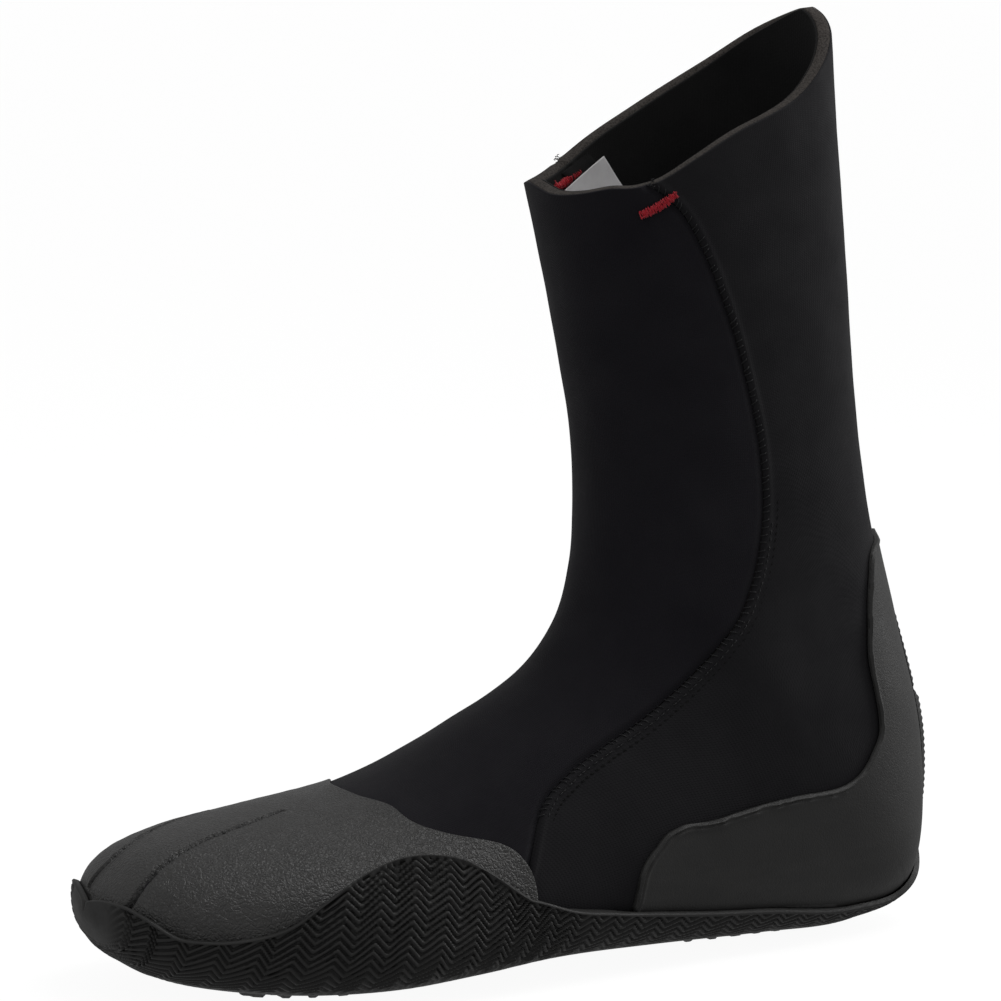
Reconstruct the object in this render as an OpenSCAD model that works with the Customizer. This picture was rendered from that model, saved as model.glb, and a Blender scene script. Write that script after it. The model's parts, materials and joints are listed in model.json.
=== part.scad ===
// Neoprene water sports boot, left foot, as an assembly of its cut panels, linings,
// seams and moulded rubber pieces. Toe towards -Y, collar up, outer side of the foot at +X.
// Every piece lies between two depths below or above one boot skin. The skin is a row of
// stations that fan round the ankle, from the toe tip to the collar.

/* [Size] */
// Length of the upper over the toe and heel, without rubber (mm)
boot_length = 278; // [250:1:310]
// Height of the back of the collar (mm)
boot_height = 295; // [250:1:330]
// Width of the upper across the ball of the foot (mm)
ball_width = 98; // [88:1:112]

/* [Neoprene] */
// Thickness of the outer jersey facing (mm)
facing = 0.7; // [0.4:0.1:0.8]
// Depth of the inner face of the neoprene foam (mm)
foam_depth = 4.4; // [3:0.1:5.4]
// Thickness of the jersey lining (mm)
lining = 0.6; // [0.4:0.1:0.9]
// Width of the seam tape (mm)
tape_width = 12; // [8:1:16]
// Spacing of the blind stitches (mm)
stitch_pitch = 4; // [3.5:0.5:8]

/* [Rubber] */
// Thickness of the toe and heel caps (mm)
cap = 1.3; // [1:0.1:1.6]
// Thickness of the outsole and its rand (mm)
sole = 1.8; // [1.4:0.1:3]
// Depth of the toe grooves (mm)
groove = 0.8; // [0.3:0.1:0.9]
// Height of the tread bars below the outsole (mm)
tread = 1.5; // [1:0.1:2.5]

/* [Care label] */
// Width of the label along its sewn edge (mm)
label_width = 22; // [12:1:26]
// Length of each leaf of the folded label (mm)
label_length = 21; // [12:1:24]

/* [Show] */
// Node to draw

/* [Hidden] */

gap = 0.2;          // glue line between two layers
cut = 0.3;          // half the gap between two panels, in degrees round the boot
collar_t = 16;      // station of the collar
sole_end_t = 11;    // station where the sole panel ends under the heel
rand_end_t = 11.45; // station where the rand ends, up the back of the heel
seam_start_t = 6;   // station where the side seam rises from the sole
length_scale = boot_length / 278;
height_scale = boot_height / 295;
width_scale = ball_width / 98;
sole_in = cap + 4 * gap;
sole_out = sole_in + sole;
black = [0.09, 0.09, 0.1];

// Skin stations from toe tip to collar: top line y and z, bottom line y and z, half width,
// sideways shift of the top and bottom, squareness of the top and bottom, belly height
stations = [
    [-132,  29, -131,  24,  7, -8, -7, 2.2, 2.4,  0.00],
    [-128,  37, -127,  17, 23, -7, -6, 2.2, 2.6, -0.05],
    [-119,  44, -118,  12, 34, -6, -5, 2.2, 3.0, -0.15],
    [-103,  49, -103,   9, 42, -5, -3, 2.2, 3.4, -0.25],
    [ -80,  53,  -80,   7, 48, -4,  0, 2.1, 3.8, -0.30],
    [ -56,  57,  -54,   7, 50, -4,  3, 2.0, 4.0, -0.35],
    [ -33,  65,  -26,   8, 47, -3,  3, 2.0, 4.0, -0.35],
    [ -11,  77,    6,   9, 43, -1,  1, 2.0, 3.8, -0.30],
    [  10,  91,   42,   8, 39,  0,  0, 2.0, 3.6, -0.25],
    [  22, 107,   82,   7, 37,  0,  0, 2.0, 3.4, -0.20],
    [  27, 125,  116,   7, 36,  0,  0, 2.1, 3.0, -0.15],
    [  28, 140,  141,  17, 36,  0,  0, 2.2, 2.6, -0.05],
    [  28, 153,  145,  58, 34,  0,  0, 2.3, 2.3,  0.00],
    [  27, 168,  136,  98, 33,  0,  0, 2.3, 2.2,  0.00],
    [  24, 187,  126, 138, 33,  0,  0, 2.3, 2.2,  0.00],
    [  19, 213,  118, 200, 34,  0,  0, 2.3, 2.2,  0.00],
    [  12, 243,  110, 295, 36,  0,  0, 2.3, 2.2,  0.00]
];

// Edges on the skin: station and angle from the top line, the same on both sides
sole_edge = [
    [0, 180], [0.5, 180], [1, 150], [2, 130], [3, 122], [4, 118], [5, 116],
    [6, 116], [7, 118], [8, 122], [9, 128], [10, 138], [10.6, 155], [11, 180]
];
seam_edge = [
    [6, 114], [6.5, 88], [7, 62], [7.5, 55], [8, 54], [8.5, 55], [9.5, 58], [10.8, 64],
    [11.7, 72], [12.4, 78], [13.3, 85], [14, 88], [14.5, 86], [15, 81], [15.5, 71], [16, 56]
];
rand_edge = [
    [0, 0], [0.5, 38], [1, 62], [1.5, 78], [2, 90], [2.5, 90], [3, 87], [3.5, 81], [4, 69],
    [4.5, 60], [5, 56], [5.5, 59], [6, 69], [6.5, 88], [7, 108], [7.5, 117], [8, 123],
    [8.5, 128], [9, 132], [9.5, 137], [10, 143], [10.5, 150], [11, 159], [11.45, 180]
];
heel_edge = [
    [7.7, 118], [7.9, 99], [8.2, 89], [8.5, 87], [8.8, 89], [9.8, 95], [10.9, 109],
    [11.4, 116], [11.7, 120], [12.2, 118], [12.5, 120], [13.2, 130], [13.6, 142], [13.8, 165]
];
// Rear edge of the toe cap: angle and station
toe_edge = [
    [0, 5.15], [12, 5.2], [26, 5.4], [40, 5.5], [51, 5.8], [65, 6.4], [74, 6.6], [85, 6.68], [116, 6.6]
];
// Toe grooves on the outer and inner side of the foot: station and angle
outer_groove = [[0.9, 60], [1.3, 46], [1.9, 33], [2.75, 21], [3.5, 14.5], [4.2, 8]];
inner_groove = [[0.6, -23], [0.95, -15], [1.4, -10.5], [2, -11], [2.6, -16], [3.1, -20.5], [3.6, -24]];
// How far the collar is cut down below a straight cut: angle, negative on the inner side, and
// millimetres
collar_sag = [
    [-180, 0], [-160, 0.9], [-140, 2.4], [-120, 5], [-100, 6.4], [-75, 6.6], [-50, 7], [-30, 3.8],
    [-12, 0.6], [0, 1.5], [12, 3.4], [30, 5.2], [42, 6.6], [52, 9.6], [62, 11.2], [75, 10.4],
    [90, 9.8], [105, 11.2], [120, 11.6], [135, 9.4], [150, 6.4], [165, 2.8], [180, 0]
];

function clamp(x, low = 0, high = 1) = max(low, min(high, x));
function smooth(x) = let (f = clamp(x)) f * f * (3 - 2 * f);
function slope(k, i) =
    let (a = max(0, i - 1), b = min(len(k) - 1, i + 1)) (k[b][1] - k[a][1]) / (k[b][0] - k[a][0]);

// Smooth curve through pairs of place and value
function curve(k, x) =
    let (
        last = len(k) - 2,
        i = max([0, for (j = [1:last]) if (k[j][0] <= x) j]),
        h = k[i + 1][0] - k[i][0],
        f = clamp((x - k[i][0]) / h),
        g = 1 - f
    )
    k[i][1] * g * g * (1 + 2 * f) + k[i + 1][1] * f * f * (3 - 2 * f)
    + h * f * g * (g * slope(k, i) - f * slope(k, i + 1));

// Station values anywhere along the boot
function station(t) =
    let (
        x = clamp(t, 0, collar_t),
        i = min(floor(x), collar_t - 1),
        f = x - i,
        a = stations[max(i - 1, 0)],
        b = stations[i],
        c = stations[i + 1],
        d = stations[min(i + 2, collar_t)]
    )
    0.5 * (2 * b + (c - a) * f + (2 * a - 5 * b + 4 * c - d) * f * f
    + (3 * b - a - 3 * c + d) * f * f * f);

// Point of the skin at station t and angle a
function skin(t, a) =
    let (
        s = station(t),
        k = (1 + cos(a)) / 2,
        n = s[8] + (s[7] - s[8]) * k,
        r = pow(pow(abs(cos(a)), n) + pow(abs(sin(a)), n), -1 / n),
        v = r * cos(a),
        q = (1 + s[9]) / 2 + v * (cos(a) > 0 ? 1 - s[9] : 1 + s[9]) / 2,
        turn = a > 180 ? a - 360 : a,
        sag = curve(collar_sag, turn) * pow(clamp((t - 13) / 3), 2)
    )
    [
        width_scale * (s[4] * r * sin(a) + s[6] + (s[5] - s[6]) * k),
        length_scale * (s[2] + (s[0] - s[2]) * q + 0.15 * sag),
        height_scale * (s[3] + (s[1] - s[3]) * q - sag)
    ];

// Inner layers start further from the toe tip, so that they never cross
function inset(t, d) = t + 0.18 * max(0, -d) * pow(clamp(1 - t / 3), 2);

// Rounds a point, so that edges that meet do so exactly
function snap(p) = [for (x = p) round(x * 10000) / 10000];

// Point at depth d above the skin
function lift(t, a, d) =
    let (
        u = inset(t, d),
        e = 0.02,
        along = skin(min(u + e, collar_t), a) - skin(max(u - e, 0), a),
        round = skin(u, a + 0.5) - skin(u, a - 0.5),
        n = cross(round, along)
    )
    snap(skin(u, a) + d * n / norm(n));

// Point that closes a sheet at the toe tip
function tip(d) =
    [-7.5 * width_scale, length_scale * (-132.5 + 0.85 * max(0, -d)) - max(d, 0), 26.5 * height_scale];

// The middle of the boot at floor level, which becomes the origin
ball_x = [for (t = [4:0.25:6.5]) for (a = [80:4:128]) for (side = [-1, 1]) lift(t, side * a, sole_out)[0]];
heel_y = [for (t = [11.4:0.05:12.4]) lift(t, 180, pad_height(t))[1]];
sole_z = [for (t = [2:0.25:10]) for (a = [130:10:180]) lift(t, a, sole_out)[2]];
base = [
    (min(ball_x) + max(ball_x)) / 2,
    (tip(sole_out)[1] + max(heel_y)) / 2,
    min(sole_z) - tread
];

// Height of the ribbed heel pad above the skin: two lobes, the lower one thicker
function pad_height(t) =
    cap + 2 * gap + 0.8 + 1.2 * smooth((12.4 - t) / 0.15) + 0.2 * cos(360 * t / 0.16);

// One closed sheet between two depths. at(u, v) gives station and angle for u and v from 0 to 1.
// wings mirrors it to the inner side of the foot as a second wing, joined where the two meet.
// nose closes it over the toe tip. low and high are depths, or functions of station and angle.
module sheet(nu, nv, at, low, high, wings = false, nose = false) {
    columns = wings ? 2 * nv + 2 : nv + 1;
    per = (nu + 1) * columns;
    depths = [high, low];
    grid = [for (d = depths) for (i = [0:nu]) for (j = [0:columns - 1])
        let (
            far = wings && j > nv,
            p = at(i / nu, (far ? columns - 1 - j : j) / nv),
            a = far ? 360 - p[1] : p[1]
        )
        lift(p[0], a, is_function(d) ? d(p[0], a) : d)];
    tips = nose ? [for (d = depths) tip(is_function(d) ? d(0, 90) : d)] : [];
    cells = [for (i = [0:nu - 1]) for (j = [0:columns - 2]) if (!wings || j != nv) i * columns + j];
    outer = [for (a = cells) each [[a, a + columns, a + columns + 1], [a, a + columns + 1, a + 1]]];
    inner = [for (c = cells) let (a = c + per)
        each [[a, a + columns + 1, a + columns], [a, a + 1, a + columns + 1]]];
    ends = [for (i = nose ? [nu] : [0, nu]) for (j = [0:columns - 2]) if (!wings || j != nv)
        let (a = i * columns + j, b = a + 1)
        each i == 0
            ? [[a, b, b + per], [a, b + per, a + per]]
            : [[a, b + per, b], [a, a + per, b + per]]];
    walls = wings
        ? [[0, -1], [nv, nv + 1], [nv + 1, nv], [columns - 1, -1]]
        : [[0, nv], [nv, 0]];
    sides = [for (k = [0:len(walls) - 1]) for (i = [0:nu - 1])
        let (
            a = i * columns + walls[k][0],
            b = a + columns,
            m = i * columns + walls[k][1],
            apart = walls[k][1] < 0
                || norm(grid[a] - grid[m]) > 0.001
                || norm(grid[b] - grid[m + columns]) > 0.001
        )
        if (apart)
            each k % 2 == 0
                ? [[a, a + per, b + per], [a, b + per, b]]
                : [[a, b + per, a + per], [a, b, b + per]]];
    front = !nose ? [] : [for (j = [0:columns - 2])
        each [[j, j + 1, 2 * per], [per + j, 2 * per + 1, per + j + 1]]];
    translate(-base)
        polyhedron(
            points = concat(grid, tips),
            faces = concat(outer, inner, ends, sides, front),
            convexity = 8
        );
}

// Station rows of a sheet that starts at station a and ends at station b
function row(u, a, b) = a + (b - a) * u;

// Rows closer together round the heel, where the skin turns fastest
heel_rows = [
    7.7, for (t = [8:0.5:9]) t, for (t = [9.3:0.3:12.6]) t,
    13, 13.2, 13.4, 13.5, 13.6, 13.7, 13.76, 13.8
];
sole_rows = [for (t = [0:0.4:9.2]) t, for (t = [9.5:0.3:11.3]) t, rand_end_t - 0.02];
function pick(list, u) = list[round(u * (len(list) - 1))];

// Front panel: over the forefoot down to the sole edge, and over the shin up to the side seams
function front_half(t) =
    t < 0.6 ? 180
    : (t < seam_start_t ? curve(sole_edge, t) : min(curve(sole_edge, t), curve(seam_edge, t))) - cut;
function front_at(u, v) = let (t = collar_t * u) [t, (2 * v - 1) * front_half(t)];

// Back panel: calf and heel, with a wing forward along each side of the foot
function back_at(u, v) =
    let (
        t = row(u, seam_start_t, collar_t),
        a = curve(seam_edge, t) + cut,
        b = t < sole_end_t ? curve(sole_edge, t) - cut : 180
    )
    [t, a + (b - a) * v];

// Sole panel: under the foot, between the sole edges
function sole_at(u, v) =
    let (t = row(u, 0.7, sole_end_t - 0.15), half = 180 - curve(sole_edge, t) - cut)
    [t, 180 + (2 * v - 1) * half];

module front_sheet(low, high) {
    sheet(32, 16, function (u, v) front_at(u, v), low, high, nose = true);
}

module back_sheet(low, high) {
    sheet(20, 9, function (u, v) back_at(u, v), low, high, wings = true);
}

module sole_sheet(low, high) {
    sheet(20, 6, function (u, v) sole_at(u, v), low, high);
}

module front_panel() {
    color(black) front_sheet(-foam_depth, -facing - gap);
}

module back_panel() {
    color(black) back_sheet(-foam_depth, -facing - gap);
}

module sole_panel() {
    color(black) sole_sheet(-foam_depth, 0);
}

module front_facing() {
    color([0.09, 0.085, 0.1]) front_sheet(-facing, 0);
}

module back_facing() {
    color([0.11, 0.11, 0.12]) back_sheet(-facing, 0);
}

module front_lining() {
    color([0.07, 0.07, 0.07]) front_sheet(-foam_depth - gap - lining, -foam_depth - gap);
}

module back_lining() {
    color([0.07, 0.07, 0.07]) back_sheet(-foam_depth - gap - lining, -foam_depth - gap);
}

module sole_lining() {
    color([0.07, 0.07, 0.07]) sole_sheet(-foam_depth - gap - lining, -foam_depth - gap);
}

// Tape glued over the inside of a side seam. side is 1 on the outer side of the foot, -1 on the inner
module seam_tape(side) {
    high = -foam_depth - 4 * gap - lining;
    sheet(
        26,
        2,
        function (u, v)
            let (t = row(u, seam_start_t + 1.2, collar_t - 0.1), half = tape_width)
            [t, side * curve(seam_edge, t) + (v - 0.5) * half * 1.3],
        high - 0.4,
        high
    );
}

module lateral_seam_tape() {
    color([0.12, 0.12, 0.13]) seam_tape(1);
}

module medial_seam_tape() {
    color([0.12, 0.12, 0.13]) seam_tape(-1);
}

// Stations of the stitches, one every stitch_pitch along the seam
stitch_stations = [for (i = [7:collar_t - 1])
    let (
        run = norm(skin(i + 1, curve(seam_edge, i + 1)) - skin(i, curve(seam_edge, i))),
        n = max(1, floor(run / stitch_pitch))
    )
    each [for (k = [0:n - 1]) if (i + k / n < collar_t - 0.2) i + k / n]];

// One thread loop per stitch, lying across the joint on the facing
module stitches(side) {
    for (t = stitch_stations)
        sheet(
            1,
            1,
            function (u, v) [t + (u - 0.5) * 0.05, side * curve(seam_edge, t) + (v - 0.5) * 6],
            0.3,
            0.7
        );
}

module lateral_seam_stitches() {
    color([0.14, 0.14, 0.15]) stitches(1);
}

module medial_seam_stitches() {
    color([0.14, 0.14, 0.15]) stitches(-1);
}

// Dense bar of thread across the top of a side seam, rising towards the heel
module bar_tack(side, from, to) {
    sheet(
        2,
        6,
        function (u, v)
            let (at = from + (to - from) * (side > 0 ? v : 1 - v))
            [at[0] + 0.06 * u, side * at[1]],
        0.9,
        1.8
    );
}

module lateral_bar_tack() {
    color([0.55, 0.08, 0.11]) bar_tack(1, [15.65, 52.5], [15.745, 66]);
}

module medial_bar_tack() {
    color([0.55, 0.08, 0.11]) bar_tack(-1, [15.75, 44], [15.735, 62]);
}

// Stiffening board under the sole panel
module insole_board() {
    color([0.2, 0.2, 0.2])
        sheet(
            18,
            4,
            function (u, v) sole_at(0.05 + 0.9 * u, 1 / 6 + 2 * v / 3),
            gap,
            gap + cap
        );
}

// Nearness to a groove line, 1 on the line and 0 beside it
function on_groove(line, t, a) =
    let (
        turn = a > 180 ? a - 360 : a,
        first = line[0][0],
        last = line[len(line) - 1][0],
        wide = 5,
        ends = smooth((t - first + 0.2) / 0.2) * smooth((last + 0.2 - t) / 0.2)
    )
    ends * smooth(1 - abs(turn - curve(line, t)) / wide);

function cap_top(t, a) =
    gap + cap - groove * max(on_groove(outer_groove, t, a), on_groove(inner_groove, t, a));

// Rubber toe cap, down to the sole board on both sides, with two recessed grooves on top
module toe_cap() {
    color([0.2, 0.2, 0.2])
        sheet(
            16,
            36,
            function (u, v)
                let (
                    a = (2 * v - 1) * 112,
                    t = row(u, 0, curve(toe_edge, abs(a)))
                )
                [t, a * smooth(0.1 + t)],
            gap,
            function (t, a) cap_top(t, a),
            nose = false
        );
}

// Rubber heel cap, with a wing forward along each side of the foot
module heel_cap() {
    color([0.16, 0.16, 0.16])
        sheet(
            len(heel_rows) - 1,
            7,
            function (u, v)
                let (
                    t = pick(heel_rows, u),
                    a = curve(heel_edge, t),
                    b = t < sole_end_t - 0.2 ? curve(sole_edge, t) + 6 : 180
                )
                [t, a + (min(b, 180) - a) * v],
            gap + 0.3,
            gap + cap,
            wings = true
        );
}

// Ribbed pad on the back of the heel, in two lobes
module kick_pad() {
    color([0.13, 0.13, 0.13])
        sheet(
            24,
            8,
            function (u, v)
                let (t = row(u, rand_end_t + 0.08, 13.1), half = 26 - 8 * pow(2 * u - 1, 2))
                [t, 180 + (2 * v - 1) * half],
            cap + 2 * gap,
            function (t, a) pad_height(t)
        );
}

// Outsole moulded round the foot, with a rand that rises over the ball and the toe tip
function rand_at(u, v) =
    let (t = pick(sole_rows, u), half = 180 - curve(rand_edge, t))
    [t, 180 + (2 * v - 1) * half];

// The rand closes onto the facing at the waist, where no cap lies under it
function rand_low(t, a) =
    let (turn = abs(a > 180 ? a - 360 : a))
    sole_in - (sole_in - gap) * smooth((t - 6.9) / 0.2) * smooth((7.7 - t) / 0.2)
    * smooth((curve(sole_edge, t) - turn) / 6);

// Wavy tread bar across the sole at y, moulded into the outsole, standing on the floor
module tread_bar(y, low, high, buried) {
    n = 10;
    wave = [for (i = [0:n]) [low + (high - low) * i / n, y + (i % 2 == 0 ? -1.5 : 1.5)]];
    linear_extrude(height = tread + buried)
        polygon(concat(
            [for (p = wave) p - [0, 1.5]],
            [for (i = [n:-1:0]) wave[i] + [0, 1.5]]
        ));
}

module outsole() {
    color([0.12, 0.12, 0.12])
        union() {
            sheet(
                len(sole_rows) - 1,
                24,
                function (u, v) rand_at(u, v),
                function (t, a) rand_low(t, a),
                sole_out,
                nose = true
            );
            for (i = [0:5])
                tread_bar(length_scale * (-84 + 9 * i), -26 * width_scale, 30 * width_scale, 1.9);
            for (i = [0:4])
                tread_bar(length_scale * (68 + 9 * i), -16 * width_scale, 16 * width_scale, 1.3);
        }
}

// Folded care label, sewn into the top of the inner side seam by one edge: its frame is the
// inward normal, the way it lies back from the seam, and the seam's own line
label_back = [-0.2, 0.82, 0.54] / norm([-0.2, 0.82, 0.54]);
label_in = ([1, 0, 0] - label_back * label_back[0]) / norm([1, 0, 0] - label_back * label_back[0]);
label_up = cross(label_in, label_back);
label_place = lift(15.71, 315.2, -foam_depth - lining - 1.3);

module care_label() {
    leaf = 0.3;
    end = label_length;
    at = label_place - base;
    color([0.92, 0.9, 0.9])
        multmatrix([
            [label_in[0], label_back[0], label_up[0], at[0]],
            [label_in[1], label_back[1], label_up[1], at[1]],
            [label_in[2], label_back[2], label_up[2], at[2]]
        ])
            translate([0, 0, -label_width])
                linear_extrude(height = label_width)
                    polygon([
                        [0, 0], [leaf, 0], [leaf, end - leaf], [2 * leaf, end - leaf],
                        [2 * leaf, 0], [3 * leaf, 0], [3 * leaf, end], [0, end]
                    ]);
}

front_panel();
back_panel();
sole_panel();
front_facing();
back_facing();
front_lining();
back_lining();
sole_lining();
lateral_seam_tape();
medial_seam_tape();
lateral_seam_stitches();
medial_seam_stitches();
lateral_bar_tack();
medial_bar_tack();
insole_board();
toe_cap();
heel_cap();
kick_pad();
outsole();
care_label();
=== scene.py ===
"""Looks of a neoprene water sports boot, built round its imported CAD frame.

Every sheet lies between two depths of one skin, the same skin as the CAD part's: stations from
the toe tip to the collar that fan round the ankle. Skin values are in millimetres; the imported
frame's own boxes say where they go in the row frame.
"""

import json
import math

import bpy
import numpy as np
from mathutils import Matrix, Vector


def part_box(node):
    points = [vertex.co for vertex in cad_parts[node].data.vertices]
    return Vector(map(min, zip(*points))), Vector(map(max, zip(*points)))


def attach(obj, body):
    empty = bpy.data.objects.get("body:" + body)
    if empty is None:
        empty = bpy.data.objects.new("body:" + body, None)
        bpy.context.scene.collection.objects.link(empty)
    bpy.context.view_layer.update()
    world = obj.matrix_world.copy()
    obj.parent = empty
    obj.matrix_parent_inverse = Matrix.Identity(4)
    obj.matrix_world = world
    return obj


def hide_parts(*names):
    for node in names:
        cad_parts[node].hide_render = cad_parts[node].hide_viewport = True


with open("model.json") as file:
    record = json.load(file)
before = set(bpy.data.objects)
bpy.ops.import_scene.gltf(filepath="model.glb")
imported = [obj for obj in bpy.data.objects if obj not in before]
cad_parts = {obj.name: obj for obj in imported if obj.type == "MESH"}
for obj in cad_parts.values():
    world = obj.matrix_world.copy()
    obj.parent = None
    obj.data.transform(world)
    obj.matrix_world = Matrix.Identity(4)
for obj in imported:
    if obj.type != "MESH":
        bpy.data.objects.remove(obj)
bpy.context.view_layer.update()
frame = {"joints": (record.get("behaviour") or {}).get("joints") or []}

# ---------------------------------------------------------------- skin of the boot, as in the CAD part

STATIONS = np.array([
    [-132, 29, -131, 24, 7, -8, -7, 2.2, 2.4, 0.00],
    [-128, 37, -127, 17, 23, -7, -6, 2.2, 2.6, -0.05],
    [-119, 44, -118, 12, 34, -6, -5, 2.2, 3.0, -0.15],
    [-103, 49, -103, 9, 42, -5, -3, 2.2, 3.4, -0.25],
    [-80, 53, -80, 7, 48, -4, 0, 2.1, 3.8, -0.30],
    [-56, 57, -54, 7, 50, -4, 3, 2.0, 4.0, -0.35],
    [-33, 65, -26, 8, 47, -3, 3, 2.0, 4.0, -0.35],
    [-11, 77, 6, 9, 43, -1, 1, 2.0, 3.8, -0.30],
    [10, 91, 42, 8, 39, 0, 0, 2.0, 3.6, -0.25],
    [22, 107, 82, 7, 37, 0, 0, 2.0, 3.4, -0.20],
    [27, 125, 116, 7, 36, 0, 0, 2.1, 3.0, -0.15],
    [28, 140, 141, 17, 36, 0, 0, 2.2, 2.6, -0.05],
    [28, 153, 145, 58, 34, 0, 0, 2.3, 2.3, 0.00],
    [27, 168, 136, 98, 33, 0, 0, 2.3, 2.2, 0.00],
    [24, 187, 126, 138, 33, 0, 0, 2.3, 2.2, 0.00],
    [19, 213, 118, 200, 34, 0, 0, 2.3, 2.2, 0.00],
    [12, 243, 110, 295, 36, 0, 0, 2.3, 2.2, 0.00],
], float)
COLLAR_T = 16.0
SOLE_END_T = 11.0
RAND_END_T = 11.45
SEAM_START_T = 6.0
BOOT_HEIGHT = 295  # top of the collar at the back, in skin millimetres
SOLE_GAP, SEAM_GAP = 0.3, 0.12  # degrees left free beside the sole seam and the side seams

SOLE_EDGE = [[0, 180], [0.5, 180], [1, 150], [2, 130], [3, 122], [4, 118], [5, 116], [6, 116],
             [7, 118], [8, 122], [9, 128], [10, 138], [10.6, 155], [11, 180]]
SEAM_EDGE = [[6, 114], [6.5, 88], [7, 62], [7.5, 55], [8, 54], [8.5, 55], [9.5, 58], [10.8, 64],
             [11.7, 72], [12.4, 78], [13.3, 85], [14, 88], [14.5, 86], [15, 81], [15.5, 71], [16, 56]]
RAND_EDGE = [[0, 0], [0.5, 38], [1, 62], [1.5, 78], [2, 90], [2.5, 90], [3, 87], [3.5, 81], [4, 69],
             [4.5, 60], [5, 56], [5.5, 59], [6, 69], [6.5, 88], [7, 108], [7.5, 117], [8, 123],
             [8.5, 128], [9, 132], [9.5, 137], [10, 143], [10.5, 150], [11, 159], [11.45, 180]]
HEEL_EDGE = [[7.7, 118], [7.9, 99], [8.2, 89], [8.5, 87], [8.8, 89], [9.8, 95], [10.9, 109],
             [11.4, 116], [11.7, 120], [12.2, 118], [12.5, 120], [13.2, 130], [13.6, 142], [13.8, 165]]
TOE_EDGE = [[0, 5.15], [12, 5.2], [26, 5.4], [40, 5.5], [51, 5.8], [65, 6.4], [74, 6.6], [85, 6.68],
            [116, 6.6]]
OUTER_GROOVE = [[0.9, 60], [1.3, 46], [1.9, 33], [2.75, 21], [3.5, 14.5], [4.2, 8]]
INNER_GROOVE = [[0.6, -23], [0.95, -15], [1.4, -10.5], [2, -11], [2.6, -16], [3.1, -20.5], [3.6, -24]]
COLLAR_SAG = [
    [-180, 0], [-160, 0.9], [-140, 2.4], [-120, 5], [-100, 6.4], [-75, 6.6], [-50, 7], [-30, 3.8],
    [-12, 0.6], [0, 1.5], [12, 3.4], [30, 5.2], [42, 6.6], [52, 9.6], [62, 11.2], [75, 10.4],
    [90, 9.8], [105, 11.2], [120, 11.6], [135, 9.4], [150, 6.4], [165, 2.8], [180, 0],
]


def curve(knots, x):
    """Smooth curve through pairs of place and value."""
    k = np.asarray(knots, float)
    xs, ys = k[:, 0], k[:, 1]
    s = np.empty(len(xs))
    s[1:-1] = (ys[2:] - ys[:-2]) / (xs[2:] - xs[:-2])
    s[0] = (ys[1] - ys[0]) / (xs[1] - xs[0])
    s[-1] = (ys[-1] - ys[-2]) / (xs[-1] - xs[-2])
    x = np.asarray(x, float)
    i = np.clip(np.searchsorted(xs, x, side="right") - 1, 0, len(xs) - 2)
    h = xs[i + 1] - xs[i]
    f = np.clip((x - xs[i]) / h, 0, 1)
    g = 1 - f
    return (ys[i] * g * g * (1 + 2 * f) + ys[i + 1] * f * f * (3 - 2 * f)
            + h * f * g * (g * s[i] - f * s[i + 1]))


def smooth(x):
    f = np.clip(x, 0, 1)
    return f * f * (3 - 2 * f)


def station(t):
    t = np.clip(t, 0, COLLAR_T)
    i = np.minimum(np.floor(t).astype(int), 15)
    f = (t - i)[..., None]
    a, b, c, d = (STATIONS[np.clip(i + k, 0, 16)] for k in (-1, 0, 1, 2))
    return 0.5 * (2 * b + (c - a) * f + (2 * a - 5 * b + 4 * c - d) * f ** 2
                  + (3 * b - a - 3 * c + d) * f ** 3)


def turn_of(a):
    """Angle from the top line, from -180 to 180."""
    return (np.asarray(a, float) + 180) % 360 - 180


def skin(t, a):
    t, a = np.broadcast_arrays(np.asarray(t, float), np.asarray(a, float))
    s = np.moveaxis(station(t), -1, 0)
    r = np.radians(a)
    ca, sa = np.cos(r), np.sin(r)
    k = (1 + ca) / 2
    n = s[8] + (s[7] - s[8]) * k
    q = (np.abs(ca) ** n + np.abs(sa) ** n) ** (-1 / n)
    up = (1 + s[9]) / 2 + q * ca * np.where(ca > 0, 1 - s[9], 1 + s[9]) / 2
    sag = curve(COLLAR_SAG, turn_of(a)) * np.clip((t - 13) / 3, 0, 1) ** 2
    return np.stack([s[4] * q * sa + s[6] + (s[5] - s[6]) * k,
                     s[2] + (s[0] - s[2]) * up + 0.15 * sag,
                     s[3] + (s[1] - s[3]) * up - sag], -1)


def lift(t, a, d):
    """Point at depth d above the skin, in skin millimetres."""
    t, a, d = np.broadcast_arrays(*(np.asarray(v, float) for v in (t, a, d)))
    u = t + 0.18 * np.maximum(0, -d) * np.clip(1 - t / 3, 0, 1) ** 2
    along = skin(np.minimum(u + 0.02, COLLAR_T), a) - skin(np.maximum(u - 0.02, 0), a)
    n = np.cross(skin(u, a + 0.5) - skin(u, a - 0.5), along)
    n /= np.linalg.norm(n, axis=-1, keepdims=True)
    return skin(u, a) + n * d[..., None]


def tip(d):
    return np.array([-7.5, -132.5 + 0.85 * max(0, -d) - max(d, 0), 26.5])


# The skin's own origin against the frame's: the facing's box is measured both ways
_t, _a = np.meshgrid(np.arange(0, 16.01, 0.5), np.arange(-180, 181, 4), indexing="ij")
_half = np.where(_t < 0.6, 180, np.where(_t < SEAM_START_T, curve(SOLE_EDGE, _t),
                                         np.minimum(curve(SOLE_EDGE, _t), curve(SEAM_EDGE, _t))) - SOLE_GAP)
_v = np.linspace(-1, 1, 17)[None, :]
_skin_box = lift(_t[:, :17], _half[:, :17] * _v, 0.0).reshape(-1, 3)
_low, _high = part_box("front_facing")
_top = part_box("back_facing")[1]
BASE = np.array([
    (_skin_box[:, 0].min() + _skin_box[:, 0].max()) / 2 - (_low.x + _high.x) * 500,
    tip(0)[1] - _low.y * 1000,
    BOOT_HEIGHT - _top.z * 1000,
])


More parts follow.
